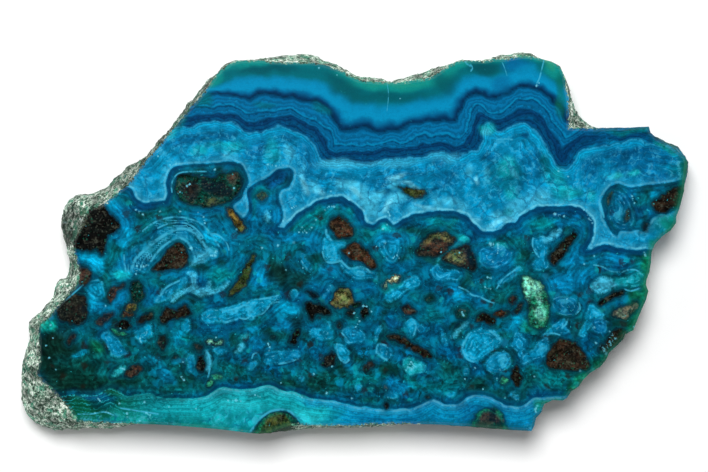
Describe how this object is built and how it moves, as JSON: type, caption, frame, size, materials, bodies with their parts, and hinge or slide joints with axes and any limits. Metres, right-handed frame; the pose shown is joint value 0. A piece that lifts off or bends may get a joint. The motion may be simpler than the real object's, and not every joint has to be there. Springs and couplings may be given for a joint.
{
  "type": "chrysocolla specimen",
  "caption": "Flat sawn slab of banded blue chrysocolla with one polished face and a rough rind along two sides, lying on its sawn back.",
  "frame": {"origin": "middle of the slab's outline on its sawn back", "axes": "+Z out of the polished face, +X along the slab's length towards its broken end, +Y towards the banded edge"},
  "size_m": [0.101, 0.0577, 0.008],
  "materials": {
    "chrysocolla": "polished on the face, rough grey-green rind on two sides, sawn matt on the back"
  },
  "bodies": {
    "root": {"slab": "chrysocolla"}
  },
  "joints": []
}
